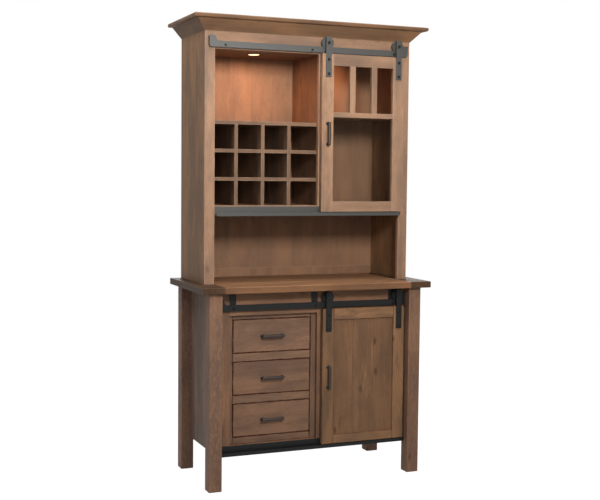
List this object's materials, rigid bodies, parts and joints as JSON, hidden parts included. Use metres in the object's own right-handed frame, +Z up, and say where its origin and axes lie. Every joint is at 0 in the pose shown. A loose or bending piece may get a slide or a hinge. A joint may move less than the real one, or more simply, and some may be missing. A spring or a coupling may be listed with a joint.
{
  "type": "hutch cabinet",
  "caption": "Two-piece wooden hutch cabinet with sliding barn doors on steel tracks, drawers, a bottle rack, an open niche and an overhanging counter.",
  "frame": {"origin": "on the floor, midway across and midway through the counter's depth", "axes": "+X to the right seen from the front, +Y from the front to the back, +Z up"},
  "size_m": [1.162, 0.522, 2.134],
  "materials": {
    "oak_base": "stained, satin",
    "oak_front": "stained, satin",
    "oak_counter": "stained, satin",
    "oak_counter_end": "stained, satin",
    "oak_hutch": "stained, satin",
    "oak_crown": "stained, satin",
    "oak_inside": "stained, satin",
    "steel_dark": "matt black powder coat",
    "steel_grey": "matt grey powder coat",
    "bronze": "oil-rubbed bronze",
    "glide": "matt",
    "glass": "clear",
    "lens": "frosted"
  },
  "bodies": {
    "cabinet": {"legs_front": "oak_base", "legs_back": "oak_base", "leg_glides": "glide", "base_side_left": "oak_base", "base_side_right": "oak_base", "base_back": "oak_inside", "base_bottom": "oak_inside", "base_divider": "oak_inside", "base_face_frame": "oak_front", "drawer_frame": "oak_front", "drawer_runners": "oak_inside", "base_shelf": "oak_inside", "base_top": "oak_counter", "breadboard_ends": "oak_counter_end", "base_track": "steel_dark", "base_track_brackets": "steel_dark", "base_guide": "steel_dark", "hutch_side_left": "oak_hutch", "hutch_side_right": "oak_hutch", "hutch_face_frame": "oak_hutch", "light_deck": "oak_inside", "hutch_divider": "oak_inside", "hutch_floor": "oak_inside", "hutch_back": "oak_inside", "rack_shelf": "oak_inside", "rack_uprights": "oak_inside", "rack_slats": "oak_inside", "display_shelf": "oak_inside", "crown_moulding": "oak_crown", "crown_cap": "oak_crown", "hutch_track": "steel_grey", "hutch_guide": "steel_grey", "light_housings": "steel_grey", "light_lenses": "lens", "track_bolts": "steel_dark", "shelf_pins": "steel_grey"},
    "base_door": {"base_door_frame": "oak_front", "base_door_panel": "oak_front", "base_door_hangers": "steel_dark", "base_door_pull": "bronze", "base_door_fasteners": "steel_dark"},
    "glass_door": {"glass_door_frame": "oak_hutch", "glass_door_muntins": "oak_hutch", "glass_panes": "glass", "glass_door_hangers": "steel_grey", "glass_door_pull": "bronze", "glass_door_fasteners": "steel_grey"},
    "base_wheel_left_body": {"base_wheel_left": "steel_dark"},
    "base_wheel_right_body": {"base_wheel_right": "steel_dark"},
    "glass_wheel_left_body": {"glass_wheel_left": "steel_grey"},
    "glass_wheel_right_body": {"glass_wheel_right": "steel_grey"},
    "drawer_1": {"drawer_front_1": "oak_front", "drawer_box_1": "oak_inside", "drawer_pull_1": "bronze"},
    "drawer_2": {"drawer_front_2": "oak_front", "drawer_box_2": "oak_inside", "drawer_pull_2": "bronze"},
    "drawer_3": {"drawer_front_3": "oak_front", "drawer_box_3": "oak_inside", "drawer_pull_3": "bronze"}
  },
  "joints": [
    {"name": "base_door_slide", "type": "slide", "parent": "cabinet", "child": "base_door", "axis": [1, 0, 0], "range_m": [-0.487, 0]},
    {"name": "glass_door_slide", "type": "slide", "parent": "cabinet", "child": "glass_door", "axis": [1, 0, 0], "range_m": [-0.525, 0]},
    {"name": "base_wheel_left_spin", "type": "hinge", "parent": "base_door", "child": "base_wheel_left_body", "pos_m": [0.061, -0.191, 0.8583], "axis": [0, 1, 0], "range_deg": [-1552, 0]},
    {"name": "base_wheel_right_spin", "type": "hinge", "parent": "base_door", "child": "base_wheel_right_body", "pos_m": [0.426, -0.191, 0.8583], "axis": [0, 1, 0], "range_deg": [-1552, 0]},
    {"name": "glass_wheel_left_spin", "type": "hinge", "parent": "glass_door", "child": "glass_wheel_left_body", "pos_m": [0.077, -0.122, 2.0393], "axis": [0, 1, 0], "range_deg": [-1674, 0]},
    {"name": "glass_wheel_right_spin", "type": "hinge", "parent": "glass_door", "child": "glass_wheel_right_body", "pos_m": [0.442, -0.122, 2.0393], "axis": [0, 1, 0], "range_deg": [-1674, 0]},
    {"name": "drawer_1_slide", "type": "slide", "parent": "cabinet", "child": "drawer_1", "axis": [0, -1, 0], "range_m": [0, 0.28]},
    {"name": "drawer_2_slide", "type": "slide", "parent": "cabinet", "child": "drawer_2", "axis": [0, -1, 0], "range_m": [0, 0.28]},
    {"name": "drawer_3_slide", "type": "slide", "parent": "cabinet", "child": "drawer_3", "axis": [0, -1, 0], "range_m": [0, 0.28]}
  ],
  "couplings": [
    {"joint": "base_wheel_left_spin", "follows": "base_door_slide", "rad_per_m": 55.556},
    {"joint": "base_wheel_right_spin", "follows": "base_door_slide", "rad_per_m": 55.556},
    {"joint": "glass_wheel_left_spin", "follows": "glass_door_slide", "rad_per_m": 55.556},
    {"joint": "glass_wheel_right_spin", "follows": "glass_door_slide", "rad_per_m": 55.556}
  ]
}
